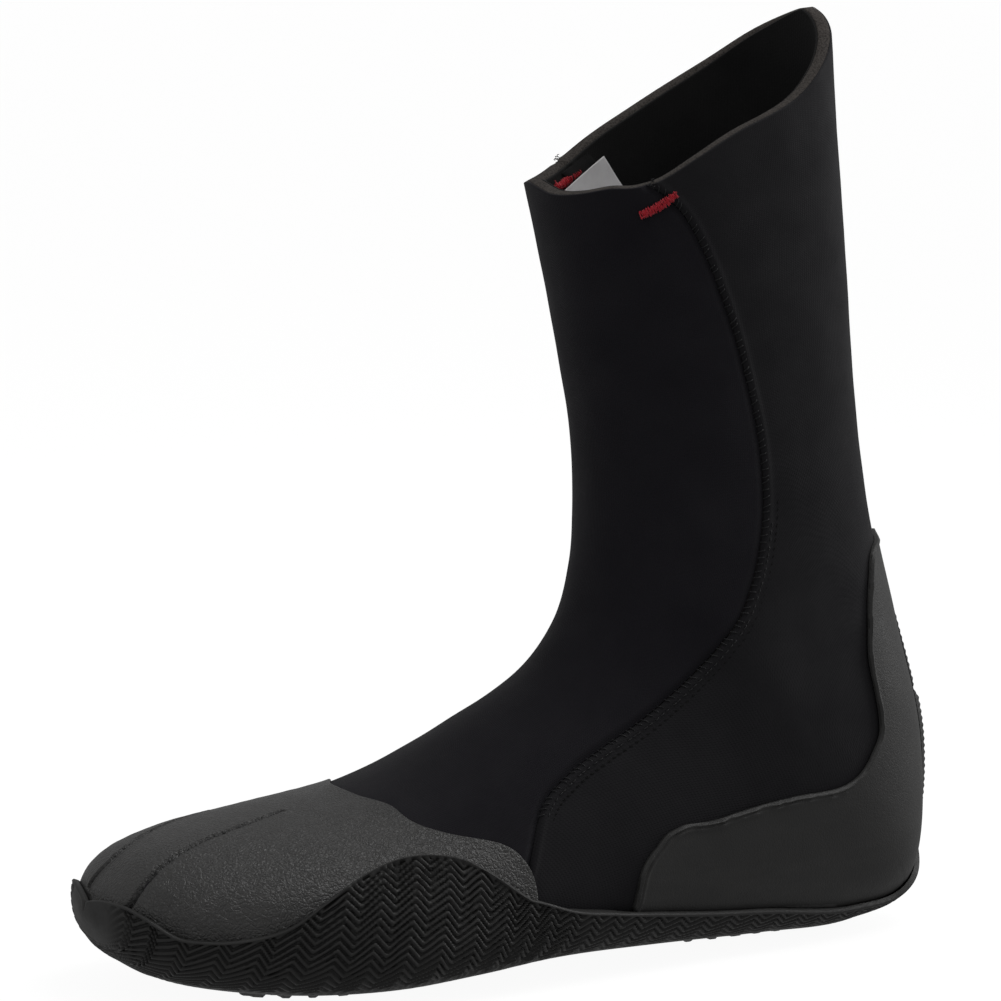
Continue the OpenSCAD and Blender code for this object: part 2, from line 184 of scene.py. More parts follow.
def place(p):
    """Skin millimetres to the row frame in metres."""
    return (np.asarray(p, float) - BASE) / 1000


# ---------------------------------------------------------------- meshes


def make_mesh(name, points, quads, body="boot", uv=None, sharp=50, merge=0.0, shade=None):
    me = bpy.data.meshes.new(name)
    me.from_pydata([tuple(p) for p in points], [], quads)
    # the shade values are a mask of painted groove shade, kept on the points for the material
    if shade is not None:
        layer = me.attributes.new("shade", "FLOAT", "POINT")
        layer.data.foreach_set("value", np.asarray(shade, np.float32))
    if uv is not None:
        layer = me.uv_layers.new(name="surf")
        index = np.empty(len(me.loops), np.int32)
        me.loops.foreach_get("vertex_index", index)
        layer.data.foreach_set("uv", np.asarray(uv, np.float32)[index].ravel())
    ob = bpy.data.objects.new(name, me)
    bpy.context.scene.collection.objects.link(ob)
    if merge:
        import bmesh
        bm = bmesh.new()
        bm.from_mesh(me)
        bmesh.ops.remove_doubles(bm, verts=bm.verts, dist=merge)
        bmesh.ops.dissolve_degenerate(bm, edges=bm.edges, dist=merge)
        bmesh.ops.recalc_face_normals(bm, faces=bm.faces)
        bm.to_mesh(me)
        bm.free()
    me.validate()
    for p in me.polygons:
        p.use_smooth = True
    me.set_sharp_from_angle(angle=math.radians(sharp))
    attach(ob, body)
    return ob


def both_wings(t, a):
    """The grid of the outer side of the foot with its mirror on the inner side."""
    t, a = np.broadcast_arrays(t, a)
    return np.concatenate([t, t[:, ::-1]], 1), np.concatenate([a, 360 - a[:, ::-1]], 1)


def shell(name, t, a, low, high, wings=False, nose=False, sharp=50, shade=0.0):
    """Closed sheet over the grid t, a between two depths, like the CAD part's sheets.
    wings is for a grid from both_wings, whose halves are joined only where they meet; shade marks the outer
    points that lie in a groove, where the material paints shade into that groove."""
    t, a = np.broadcast_arrays(t, a)
    low, high, shade = (np.broadcast_to(np.asarray(d, float), t.shape) for d in (low, high, shade))
    rows, cols = t.shape
    outer, inner = lift(t, a, high), lift(t, a, low)
    points = np.concatenate([outer.reshape(-1, 3), inner.reshape(-1, 3)])
    per = rows * cols
    split = cols // 2 - 1 if wings else -1
    grid = np.arange(per).reshape(rows, cols)
    keep = [j for j in range(cols - 1) if j != split]
    a0, a1 = grid[:-1][:, keep], grid[:-1][:, [j + 1 for j in keep]]
    b0, b1 = grid[1:][:, keep], grid[1:][:, [j + 1 for j in keep]]
    quads = [np.stack([a0, a1, b1, b0], -1).reshape(-1, 4),
             np.stack([a0, b0, b1, a1], -1).reshape(-1, 4) + per]
    for i in ([rows - 1] if nose else [0, rows - 1]):
        e0, e1 = grid[i][keep], grid[i][[j + 1 for j in keep]]
        wall = [e0, e0 + per, e1 + per, e1] if i == 0 else [e0, e1, e1 + per, e0 + per]
        quads.append(np.stack(wall, -1))
    sides = [(0, -1), (split, split + 1), (split + 1, split), (cols - 1, -1)] if wings \
        else [(0, cols - 1), (cols - 1, 0)]
    for k, (j, other) in enumerate(sides):
        p, q = grid[:-1, j], grid[1:, j]
        apart = np.ones(rows - 1, bool)
        if other >= 0:
            gap = np.linalg.norm(outer[:, j] - outer[:, other], axis=-1) > 1e-3
            apart = gap[:-1] | gap[1:]
        p, q = p[apart], q[apart]
        wall = [p, q, q + per, p + per] if k % 2 == 0 else [p, p + per, q + per, q]
        quads.append(np.stack(wall, -1))
    faces = [tuple(int(v) for v in f) for q in quads for f in q]
    if nose:
        points = np.concatenate([points, [tip(high[0, cols // 2]), tip(low[0, cols // 2])]])
        for j in range(cols - 1):
            faces.append((j + 1, j, 2 * per))
            faces.append((per + j, per + j + 1, 2 * per + 1))
    du = np.zeros(t.shape)
    du[1:] = np.cumsum(np.linalg.norm(np.diff(outer, axis=0), axis=-1), 0)
    dv = np.zeros(t.shape)
    dv[:, 1:] = np.cumsum(np.linalg.norm(np.diff(outer, axis=1), axis=-1), 1)
    dv -= dv[:, cols // 2:cols // 2 + 1]
    uv = np.stack([du, dv], -1).reshape(-1, 2)
    uv = np.concatenate([uv, uv] + ([[uv[0], uv[0]]] if nose else []))
    shade = np.concatenate([shade.ravel(), np.zeros(len(points) - per)])
    return make_mesh(name, place(points), faces, uv=uv, sharp=sharp, merge=2e-6, shade=shade)


def line_points(knots, n=400, d=0.0, mirror=1):
    """Points in skin millimetres along an edge given as station and angle."""
    k = np.asarray(knots, float)
    x = np.linspace(k[0, 0], k[-1, 0], n)
    return lift(x, mirror * curve(knots, x), d)


def near(points, line):
    """Distance of each point to a line given by close points."""
    flat = points.reshape(-1, 3)
    out = np.empty(len(flat))
    for s in range(0, len(flat), 20000):
        part = flat[s:s + 20000]
        d2 = (part ** 2).sum(1)[:, None] + (line ** 2).sum(1)[None] - 2 * part @ line.T
        out[s:s + 20000] = np.sqrt(np.maximum(d2.min(1), 0))
    return out.reshape(points.shape[:-1])


def soft_noise(p, scale, seed):
    """Smooth, repeatable variation from -1 to 1 made of a few waves."""
    rng = np.random.default_rng(seed)
    total = np.zeros(p.shape[:-1])
    for _ in range(7):
        k = rng.normal(size=3)
        k *= rng.uniform(0.6, 1.5) / np.linalg.norm(k) * 2 * np.pi / scale
        total += np.sin(p @ k + rng.uniform(0, 2 * np.pi))
    return total / 3.5


def tube(points, radius, sides=6, squash=1.0):
    """Points and faces of a closed round thread along a path, with rounded ends."""
    p = np.asarray(points, float)
    tangent = np.gradient(p, axis=0)
    tangent /= np.linalg.norm(tangent, axis=1, keepdims=True)
    ref = np.array([0.31, 0.47, 0.83])
    x = np.cross(tangent, ref)
    x /= np.linalg.norm(x, axis=1, keepdims=True)
    y = np.cross(tangent, x)
    r = radius * np.sqrt(np.clip(1 - np.linspace(-1, 1, len(p)) ** 6, 0.12, 1))
    ang = np.linspace(0, 2 * np.pi, sides, endpoint=False)
    ring = (np.cos(ang)[None, :, None] * x[:, None] + squash * np.sin(ang)[None, :, None] * y[:, None])
    verts = (p[:, None] + ring * r[:, None, None]).reshape(-1, 3)
    faces = []
    for i in range(len(p) - 1):
        for j in range(sides):
            k = (j + 1) % sides
            faces.append((i * sides + j, i * sides + k, (i + 1) * sides + k, (i + 1) * sides + j))
    last = (len(p) - 1) * sides
    faces.append(tuple(range(sides))[::-1])
    faces.append(tuple(range(last, last + sides)))
    return verts, faces


def join_tubes(name, paths, radius, sides=6, squash=1.0):
    verts, faces, base = [], [], 0
    for path in paths:
        v, f = tube(path, radius, sides, squash)
        verts.append(v)
        faces += [tuple(i + base for i in face) for face in f]
        base += len(v)
    return make_mesh(name, place(np.concatenate(verts)), faces, sharp=70)


# ---------------------------------------------------------------- materials


class Material:
    """A Principled material with noise, weave and bump layers built up in a few calls."""

    def __init__(self, name, colour, rough, **sockets):
        self.mat = bpy.data.materials.new(name)
        self.mat.use_nodes = True
        self.tree = self.mat.node_tree
        self.bsdf = self.tree.nodes["Principled BSDF"]
        self.bsdf.inputs["Base Color"].default_value = (*colour, 1)
        self.bsdf.inputs["Roughness"].default_value = rough
        for key, value in sockets.items():
            self.bsdf.inputs[key.replace("_", " ")].default_value = value
        self.coords = self.node("ShaderNodeTexCoord").outputs["Object"]
        self.uv = self.node("ShaderNodeUVMap")
        self.uv.uv_map = "surf"
        self.normal = None

    def node(self, kind, **values):
        n = self.tree.nodes.new(kind)
        for key, value in values.items():
            setattr(n, key, value)
        return n

    def link(self, a, b):
        self.tree.links.new(a, b)

    def noise(self, scale, detail=4, rough=0.55, stretch=None):
        n = self.node("ShaderNodeTexNoise")
        n.inputs["Scale"].default_value = scale
        n.inputs["Detail"].default_value = detail
        n.inputs["Roughness"].default_value = rough
        self.link(self.mapped(stretch), n.inputs["Vector"])
        return n.outputs["Fac"]

    def mapped(self, stretch):
        if stretch is None:
            return self.coords
        m = self.node("ShaderNodeMapping")
        m.inputs["Scale"].default_value = stretch
        self.link(self.coords, m.inputs["Vector"])
        return m.outputs["Vector"]

    def cells(self, scale, feature="F1", source=None):
        n = self.node("ShaderNodeTexVoronoi", feature=feature)
        n.inputs["Scale"].default_value = scale
        self.link(source or self.coords, n.inputs["Vector"])
        return n.outputs["Distance"]

    def math(self, kind, a, b=None):
        n = self.node("ShaderNodeMath", operation=kind)
        for socket, value in zip(n.inputs, (a, b)):
            if value is None:
                continue
            if isinstance(value, (int, float)):
                socket.default_value = value
            else:
                self.link(value, socket)
        return n.outputs[0]

    def spread(self, value, low, high, to_low=0.0, to_high=1.0):
        n = self.node("ShaderNodeMapRange", clamp=True)
        self.link(value, n.inputs["Value"])
        for key, v in (("From Min", low), ("From Max", high), ("To Min", to_low), ("To Max", to_high)):
            n.inputs[key].default_value = v
        return n.outputs["Result"]

    def colours(self, factor, stops):
        n = self.node("ShaderNodeValToRGB")
        ramp = n.color_ramp
        while len(ramp.elements) < len(stops):
            ramp.elements.new(0.5)
        for e, (at, c) in zip(ramp.elements, stops):
            e.position = at
            e.color = (*c, 1)
        self.link(factor, n.inputs["Fac"])
        return n.outputs["Color"]

    def paint(self, colour):
        self.link(colour, self.bsdf.inputs["Base Color"])

    def with_painted_shade(self, colour, shade_colour):
        """The colour with painted shade: it goes over to the given shade colour where the mesh's shade
        attribute marks a groove.
        """
        mark = self.node("ShaderNodeAttribute", attribute_name="shade")
        n = self.node("ShaderNodeMix", data_type="RGBA", clamp_factor=True)
        self.link(mark.outputs["Fac"], n.inputs["Factor"])
        self.link(colour, n.inputs[6])
        n.inputs[7].default_value = (*shade_colour, 1)
        return n.outputs[2]

    def roughness(self, value):
        self.link(value, self.bsdf.inputs["Roughness"])

    def bump(self, height, distance, strength=1.0):
        n = self.node("ShaderNodeBump")
        n.inputs["Distance"].default_value = distance
        n.inputs["Strength"].default_value = strength
        self.link(height, n.inputs["Height"])
        if self.normal is not None:
            self.link(self.normal, n.inputs["Normal"])
        self.normal = n.outputs["Normal"]
        self.link(self.normal, self.bsdf.inputs["Normal"])

    def knit(self, wales, courses):
        """Fine jersey loops from the piece's own surface map, in loops per millimetre."""
        split = self.node("ShaderNodeSeparateXYZ")
        self.link(self.uv.outputs["UV"], split.inputs[0])
        wobble = self.math("MULTIPLY", self.noise(900, 2), 0.5)
        u = self.math("ADD", self.math("MULTIPLY", split.outputs[0], courses * 2 * math.pi), wobble)
        v = self.math("MULTIPLY", split.outputs[1], wales * 2 * math.pi)
        column = self.math("SINE", v)
        loop = self.math("SINE", self.math("ADD", u, self.math("MULTIPLY", column, 1.1)))
        return self.math("ADD", self.math("MULTIPLY", column, 0.5), self.math("MULTIPLY", loop, 0.5))


def jersey(name, dark, light, sheen, wales, courses, depth):
    m = Material(name, dark, 0.82, Sheen_Weight=sheen, Sheen_Roughness=0.45, Specular_IOR_Level=0.12)
    blotch = m.noise(28, 3)
    lint = m.noise(2600, 2, 0.7)
    tone = m.math("ADD", m.math("MULTIPLY", m.spread(blotch, 0.3, 0.7), 0.55),
                  m.math("MULTIPLY", m.spread(lint, 0.35, 0.75), 0.45))
    m.paint(m.colours(tone, [(0.0, dark), (1.0, light)]))
    m.roughness(m.spread(m.noise(60, 3), 0.3, 0.7, 0.74, 0.92))
    m.bump(m.noise(140, 3), 0.0003, 0.35)
    m.bump(m.knit(wales, courses), depth, 0.5)
    m.bump(lint, 0.00006, 0.5)
    return m.mat


def foam(name):
    """Cut closed-cell neoprene foam: small open pores on a dull dark grey."""
    m = Material(name, (0.026, 0.023, 0.022), 0.9, Specular_IOR_Level=0.2)
    pores = m.cells(1500)
    tone = m.math("ADD", m.math("MULTIPLY", m.spread(pores, 0.1, 0.6), 0.6),
                  m.math("MULTIPLY", m.noise(240, 4), 0.5))
    m.paint(m.colours(tone, [(0.15, (0.013, 0.011, 0.010)), (0.5, (0.030, 0.026, 0.024)),
                             (1.0, (0.060, 0.053, 0.048))]))
    m.roughness(m.spread(m.noise(400, 3), 0.3, 0.7, 0.8, 0.97))
    m.bump(m.noise(330, 4), 0.0005, 0.5)
    m.bump(pores, 0.00025, 0.7)
    return m.mat


def rubber(name, dark, light, rough, grain, grain_size, spec=0.3):
    """Moulded rubber. grain is the depth of its leather-like wrinkles in metres."""
    m = Material(name, dark, rough, Specular_IOR_Level=spec)
    dust = m.noise(35, 5, 0.6)
    scuff = m.noise(90, 6, 0.7, stretch=(1, 0.35, 1.6))
    tone = m.math("ADD", m.math("MULTIPLY", m.spread(dust, 0.3, 0.75), 0.6),
                  m.math("MULTIPLY", m.spread(scuff, 0.5, 0.8), 0.4))
    colour = m.colours(tone, [(0.0, dark), (0.7, light), (1.0, tuple(c * 1.35 for c in light))])
    # painted shade: where the mesh's shade attribute marks a groove, the colour goes over to 0.12 of the dark
    # tone
    m.paint(m.with_painted_shade(colour, tuple(c * 0.12 for c in dark)))
    m.roughness(m.math("ADD", m.spread(dust, 0.3, 0.7, rough - 0.07, rough + 0.07),
                       m.math("MULTIPLY", m.spread(m.noise(700, 3), 0.3, 0.7), 0.08)))
    if grain:
        wander = m.node("ShaderNodeVectorMath", operation="MULTIPLY_ADD")
        shift = m.node("ShaderNodeTexNoise")
        shift.inputs["Scale"].default_value = 260
        m.link(m.coords, shift.inputs["Vector"])
        m.link(shift.outputs["Color"], wander.inputs[0])
        wander.inputs[1].default_value = (0.0022, 0.0022, 0.0022)
        m.link(m.coords, wander.inputs[2])
        crease = m.cells(1 / grain_size, "DISTANCE_TO_EDGE", source=wander.outputs[0])
        small = m.cells(1.9 / grain_size, "DISTANCE_TO_EDGE", source=wander.outputs[0])
        skin_height = m.math("ADD", m.spread(crease, 0.0, 0.28),
                             m.math("MULTIPLY", m.spread(small, 0, 0.3), 0.5))
        m.bump(skin_height, grain, 0.8)
    m.bump(m.noise(1500, 3), 0.00006, 0.4)
    m.bump(m.noise(110, 3), 0.00035, 0.25)
    return m.mat


def thread(name, dark, light, rough, sheen, gloss=0.3):
    """Twisted sewing thread with a few raised fibres."""
    m = Material(name, dark, rough, Sheen_Weight=sheen, Sheen_Roughness=0.35, Specular_IOR_Level=gloss)
    ply = m.node("ShaderNodeTexWave", wave_type="BANDS", bands_direction="DIAGONAL")
    ply.inputs["Scale"].default_value = 900
    ply.inputs["Distortion"].default_value = 3
    m.link(m.coords, ply.inputs["Vector"])
    fibre = m.noise(2600, 3, 0.7)
    tone = m.math("ADD", m.math("MULTIPLY", ply.outputs["Fac"], 0.5), m.math("MULTIPLY", fibre, 0.6))
    m.paint(m.colours(tone, [(0.1, dark), (0.9, light)]))
    m.roughness(m.spread(fibre, 0.3, 0.7, rough - 0.1, rough + 0.1))
    m.bump(ply.outputs["Fac"], 0.00012, 0.6)
    m.bump(fibre, 0.00006, 0.5)
    return m.mat


def satin(name):
    """White woven satin label, its printing left out."""
    m = Material(name, (0.8, 0.79, 0.79), 0.55, Sheen_Weight=0.2, Sheen_Roughness=0.4)
    split = m.node("ShaderNodeSeparateXYZ")
    m.link(m.uv.outputs["UV"], split.inputs[0])
    weft = m.math("SINE", m.math("MULTIPLY", split.outputs[0], 26))
    warp = m.math("SINE", m.math("MULTIPLY", split.outputs[1], 14))
    weave = m.math("MULTIPLY", weft, warp)
    cloud = m.noise(160, 4)
    m.paint(m.colours(m.math("ADD", m.math("MULTIPLY", cloud, 0.8), m.math("MULTIPLY", weave, 0.08)),
                      [(0.1, (0.66, 0.645, 0.65)), (0.7, (0.86, 0.85, 0.86))]))
    m.roughness(m.spread(cloud, 0.3, 0.7, 0.45, 0.65))
    m.bump(weave, 0.00005, 0.6)
    m.bump(m.noise(90, 3), 0.0004, 0.4)
    return m.mat


def board(name):
    m = Material(name, (0.03, 0.03, 0.03), 0.75)
    fleck = m.cells(700)
    m.paint(m.colours(m.spread(fleck, 0.0, 0.7), [(0.0, (0.02, 0.02, 0.02)), (1.0, (0.05, 0.05, 0.05))]))
    m.roughness(m.spread(m.noise(300), 0.3, 0.7, 0.65, 0.85))
    m.bump(fleck, 0.0002, 0.5)
    return m.mat


FRONT_JERSEY = jersey("front_jersey", (0.0085, 0.0078, 0.0105), (0.0150, 0.0140, 0.0175), 0.08, 1.4, 1.1,
                      0.00006)
BACK_JERSEY = jersey("back_jersey", (0.0110, 0.0106, 0.0122), (0.0190, 0.0186, 0.0205), 0.03, 1.1, 0.9,
                     0.00007)
LINING_JERSEY = jersey("lining_jersey", (0.0075, 0.0074, 0.0076), (0.0150, 0.0148, 0.0150), 0.02, 0.9, 0.8,
                       0.00009)
FOAM = foam("neoprene_foam")
TAPE = jersey("seam_tape", (0.0070, 0.0070, 0.0073), (0.0140, 0.0138, 0.0142), 0.02, 2.0, 2.0, 0.00006)
TOE_RUBBER = rubber("toe_rubber", (0.029, 0.0285, 0.028), (0.046, 0.045, 0.044), 0.36, 0.00022, 0.0015,
                    spec=0.5)
HEEL_RUBBER = rubber("heel_rubber", (0.024, 0.0238, 0.0235), (0.036, 0.0355, 0.035), 0.46, 0.00004, 0.0011)
SOLE_RUBBER = rubber("sole_rubber", (0.018, 0.0178, 0.0175), (0.029, 0.0285, 0.028), 0.45, 0.0, 0.001)
SEAM_THREAD = thread("seam_thread", (0.007, 0.007, 0.008), (0.024, 0.024, 0.026), 0.6, 0.03)
DARK_THREAD = thread("needle_thread", (0.004, 0.004, 0.004), (0.010, 0.010, 0.010), 0.8, 0.0, 0.1)
RED_THREAD = thread("red_thread", (0.30, 0.006, 0.016), (0.62, 0.018, 0.036), 0.5, 0.4)
LABEL_SATIN = satin("label_satin")
BOARD = board("insole_board")


def finish_piece(ob, material, slot, *nodes):
    ob.data.materials.clear()
    ob.data.materials.append(material)
    if nodes:
        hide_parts(*nodes)
    return ob


# ---------------------------------------------------------------- neoprene panels


def drop(d, r):
    """How far a rounded edge of radius r has fallen at distance d from the edge."""
    x = np.clip(1 - d / r, 0, 1)
    return r * (1 - np.sqrt(1 - x * x))


def runs(p):
    """Distances along a grid of points from its first and last row and its first and last column."""
    u = np.zeros(p.shape[:2])
    v = np.zeros(p.shape[:2])
    u[1:] = np.cumsum(np.linalg.norm(np.diff(p, axis=0), axis=-1), 0)
    v[:, 1:] = np.cumsum(np.linalg.norm(np.diff(p, axis=1), axis=-1), 1)
    return u, u[-1:] - u, v, v[:, -1:] - v


def sway(p):
    """Soft unevenness of stretched neoprene, in millimetres."""
    return 0.32 * soft_noise(p, 62, 3) + 0.10 * soft_noise(p, 21, 4)


def front_profile(d):
    """The front panel sinks towards the side seam."""
    return -1.05 * smooth(1 - d / 3.0) ** 1.2


def back_profile(d):
    """The back panel rises to a low ridge beside the side seam, then drops into it."""
    return 0.42 * np.exp(-((d - 1.7) / 1.0) ** 2) - 0.75 * smooth(1 - d / 0.9)


SEAM_LINES = np.concatenate([line_points([[t, curve(SEAM_EDGE, t)] for t in np.linspace(6, 16, 81)], 900,
                                         mirror=side) for side in (1, -1)])
RIM_ROWS = COLLAR_T - np.array([0.33, 0.25, 0.18, 0.12, 0.08, 0.05, 0.032, 0.02, 0.011, 0.005, 0.0])
FRONT_ROWS = np.concatenate([np.linspace(0, 5.9, 70), np.linspace(5.95, 7.5, 44),
                             np.linspace(7.58, 15.6, 108), RIM_ROWS])
BACK_ROWS = np.concatenate([np.linspace(6, 7.5, 44), np.linspace(7.58, 15.6, 108), RIM_ROWS])


def thin_out(rows, step):
    """Fewer rows for a layer that only shows at its rim."""
    body = rows[:-len(RIM_ROWS)]
    return np.concatenate([body[:-1][::step], body[-1:], RIM_ROWS])


def bevel(a):
    """Millimetres by which the cut collar slopes inwards: most on the inner side of the leg."""
    return 2.6 * smooth(-1.6 * np.sin(np.radians(a)))


def cut_collar(t, a, short, sloped):
    """The knife-cut collar is a little uneven; short trims one layer below the others, and a
    sloped layer also ends where the collar's slope begins."""
    r = np.radians(a)
    wave = soft_noise(np.stack([36 * np.cos(r), 36 * np.sin(r), 0 * r], -1), 17, 8) * 0.006 + 0.007
    if sloped:
        wave = wave + bevel(a) / (63 - 32 * np.cos(np.radians(a)))
    return t - (wave + short) * smooth((t - 15.2) / 0.8)


def front_grid(step=1, cols=121):
    t = thin_out(FRONT_ROWS, step)[:, None]
    x = np.linspace(-1, 1, cols)
    v = np.sign(x) * (1 - (1 - np.abs(x)) ** 1.75)
    sole = curve(SOLE_EDGE, t) - SOLE_GAP
    seam = np.minimum(sole, curve(SEAM_EDGE, t) - SEAM_GAP)
    half = np.where(t < 0.6, 180, np.where(t < SEAM_START_T, sole, seam))
    return np.broadcast_arrays(t, half * v[None, :])


def back_grid(step=1, cols=70):
    t = thin_out(BACK_ROWS, step)[:, None]
    v = np.linspace(0, 1, cols) ** 1.6
    low = curve(SEAM_EDGE, t) + SEAM_GAP
    high = np.where(t < SOLE_END_T, curve(SOLE_EDGE, t) - SOLE_GAP, 180)
    return both_wings(t, low + (high - low) * v[None, :])


def panel_layer(name, grid, profile, depths, rounding, short, look, node):
    """One layer of a panel, between two depths, each rounded off at the collar."""
    high, low = depths
    t, a = grid
    lining = high < -4
    t = cut_collar(t, a, short, lining)
    p = skin(t, a)
    wave = sway(p)
    dip = profile(near(p, SEAM_LINES))
    rim = runs(p)[1]
    foam = high < 0 and not lining
    facing = high == 0
    top = high + wave + dip * (0.25 if lining else 1) - drop(rim, rounding[0])
    bottom = low + wave + dip * (0.9 if facing else 0.25)
    bottom = bottom + drop(rim, rounding[1] + bevel(a) * foam)
    front = profile is front_profile
    ob = shell(name, t, a, bottom, top, wings=not front, nose=front)
    return finish_piece(ob, *look, node)


FACING = ((0.0, -0.62), (0.5, 0.05), 0.006)
CORE = ((-0.64, -4.4), (0.25, 0.5), 0.0)
LINING = ((-4.42, -5.1), (0.05, 0.4), 0.008)
FOAM_LOOK, LINING_LOOK = (FOAM, "neoprene_foam"), (LINING_JERSEY, "lining_jersey")
front_facing = panel_layer("front_jersey_facing", front_grid(), front_profile, *FACING,
                           (FRONT_JERSEY, "front_jersey"), "front_facing")
front_foam = panel_layer("front_foam", front_grid(3, 61), front_profile, *CORE, FOAM_LOOK, "front_panel")
front_lining = panel_layer("front_lining_jersey", front_grid(2, 81), front_profile, *LINING, LINING_LOOK,
                           "front_lining")
back_facing = panel_layer("back_jersey_facing", back_grid(), back_profile, *FACING,
                          (BACK_JERSEY, "back_jersey"), "back_facing")
back_foam = panel_layer("back_foam", back_grid(3, 40), back_profile, *CORE, FOAM_LOOK, "back_panel")
back_lining = panel_layer("back_lining_jersey", back_grid(2, 52), back_profile, *LINING, LINING_LOOK,
                          "back_lining")


def sole_grid(first, last, inset_deg):
    rows, cols = 90, 41
    t = np.linspace(first, last, rows)[:, None]
    half = 180 - curve(SOLE_EDGE, t) - inset_deg
    return np.broadcast_to(t, (rows, cols)), 180 + half * np.linspace(-1, 1, cols)[None, :]


finish_piece(shell("sole_foam", *sole_grid(0.7, 10.85, SOLE_GAP), -4.4, 0.0), FOAM, "neoprene_foam",
             "sole_panel")
finish_piece(shell("sole_lining_jersey", *sole_grid(0.7, 10.85, SOLE_GAP), -5.1, -4.42), LINING_JERSEY,
             "lining_jersey", "sole_lining")
finish_piece(shell("sole_board", *sole_grid(1.2, 10.3, 4.0), 0.2, 1.5), BOARD, "board", "insole_board")


def seam_tape(name, side, node):
    rows, cols = 160, 13
    t = np.linspace(7.2, 15.88, rows)[:, None]
    v = np.linspace(-1, 1, cols)[None, :]
    a = side * curve(SEAM_EDGE, t) + v * 7.8
    t = np.broadcast_to(t, a.shape)
    p = skin(t, a)
    first, last, left, right = runs(p)
    edge = np.minimum(np.minimum(first, last), np.minimum(left, right))
    wave = sway(p)
    inner = -5.62 + wave + 0.12 * soft_noise(p, 9, 12) + drop(edge, 0.35)
    return finish_piece(shell(name, t, a, inner, -5.14 + wave, sharp=60), TAPE, "seam_tape", node)


lateral_tape = seam_tape("lateral_tape", 1, "lateral_seam_tape")
medial_tape = seam_tape("medial_tape", -1, "medial_seam_tape")


# ---------------------------------------------------------------- rubber


def groove_cut(p):
    """Depth carved by the two toe grooves, wider at the toe, with a raised lip on both sides;
    and how much of each point is inside a groove."""
    cut, inside = np.zeros(p.shape[:-1]), np.zeros(p.shape[:-1])
    for knots in (OUTER_GROOVE, INNER_GROOVE):
        line = line_points(knots, 500, 0.9)
        d = near(p, line)
        along = smooth((p[..., 1] - line[0, 1]) / (line[-1, 1] - line[0, 1]))
        half = 1.05 - 0.5 * along
        wall = smooth((half + 0.28 - d) / 0.5)
        cut = np.maximum(cut, 1.22 * wall) - 0.16 * np.exp(-((d - half - 0.75) / 0.45) ** 2)
        inside = np.maximum(inside, smooth((half + 0.18 - d) / 0.45))
    return cut, inside


def toe_cap_piece():
    rows, cols = 150, 261
    u = 1 - (1 - np.linspace(0, 1, rows)[:, None]) ** 1.35
    v = np.linspace(-112, 112, cols)[None, :]
    t = u * curve(TOE_EDGE, np.abs(v))
    a = v * smooth(0.1 + t)
    p = lift(t, a, 0.9)
    rear = runs(p)[1]
    lumps = 0.05 * soft_noise(p, 7, 21) + 0.10 * soft_noise(p, 30, 22)
    cut, inside = groove_cut(p)
    top = 1.5 - cut + lumps - drop(rear, 0.5) - 0.65 * smooth(1 - rear / 16)
    # the points inside the two toe grooves get painted shade, strongest along the middle of each groove
    return finish_piece(shell("toe_rubber_cap", t, a, 0.2 + 0 * t, np.maximum(top, 0.3), shade=inside),
                        TOE_RUBBER, "toe_rubber", "toe_cap")


def heel_cap_piece():
    t = np.concatenate([7.7 + 0.3 * np.linspace(0, 1, 14)[:-1] ** 1.5, np.linspace(8, 13.1, 170),
                        np.linspace(13.12, 13.74, 26), [13.76, 13.78, 13.79, 13.796, 13.8]])[:, None]
    v = np.linspace(0, 1, 66)[None, :] ** 1.75
    low = curve(HEEL_EDGE, t)
    high = np.where(t < SOLE_END_T - 0.2, curve(SOLE_EDGE, t) + 6, 180)
    a = low + (np.minimum(high, 180) - low) * v
    t, a = both_wings(t, a)
    p = lift(t, a, 1.2)
    first, last, _, _ = runs(p)
    edge = near(p, np.concatenate([line_points(HEEL_EDGE, 1200, 1.2, side) for side in (1, -1)]))
    lump = 0.72 + 0.28 * soft_noise(p, 5.5, 31) + 0.12 * soft_noise(p, 2.6, 32)
    wide = 1 - smooth((t - 10.6) / 0.5)
    double = 0.95 * np.exp(-((edge - 0.8) / 0.42) ** 2) + 0.62 * np.exp(-((edge - 2.15) / 0.5) ** 2)
    thin = 0.62 * np.exp(-((edge - 0.7) / 0.45) ** 2)
    bead = lump * (double * wide + thin * (1 - wide)) + 0.4 * lump * np.exp(-((first - 0.7) / 0.45) ** 2)
    rounded = drop(np.minimum(np.minimum(edge, first), last), 0.55)
    top = 1.5 + bead - rounded + 0.12 * soft_noise(p, 34, 33)
    return finish_piece(shell("heel_rubber_cap", t, a, 0.3 + 0 * t, top, wings=True), HEEL_RUBBER,
                        "heel_rubber", "heel_cap")


def kick_pad_piece():
    rows, cols = 230, 41
    u = np.linspace(0, 1, rows)[:, None]
    t = RAND_END_T + 0.08 + (13.1 - RAND_END_T - 0.08) * u
    half = 26 - 8 * (2 * u - 1) ** 2 - 1.6 * np.exp(-((t - 12.4) / 0.05) ** 2)
    a = 180 + half * np.linspace(-1, 1, cols)[None, :]
    t = np.broadcast_to(t, a.shape)
    p = lift(t, a, 2.0)
    first, last, left, right = runs(p)
    edge = np.minimum(np.minimum(first, last), np.minimum(left, right))
    rib = 0.16 * np.cos(2 * np.pi * (first / 2.3))
    body = 0.6 + 0.6 * smooth((12.44 - t) / 0.1)
    waist = 0.5 * np.exp(-((t - 12.41) / 0.035) ** 2)
    top = 1.68 + (body + rib - waist) * smooth(edge / 4.0) ** 0.7
    return finish_piece(shell("heel_kick_pad", t, a, 1.66 + 0 * t, top), HEEL_RUBBER, "heel_rubber",
                        "kick_pad")


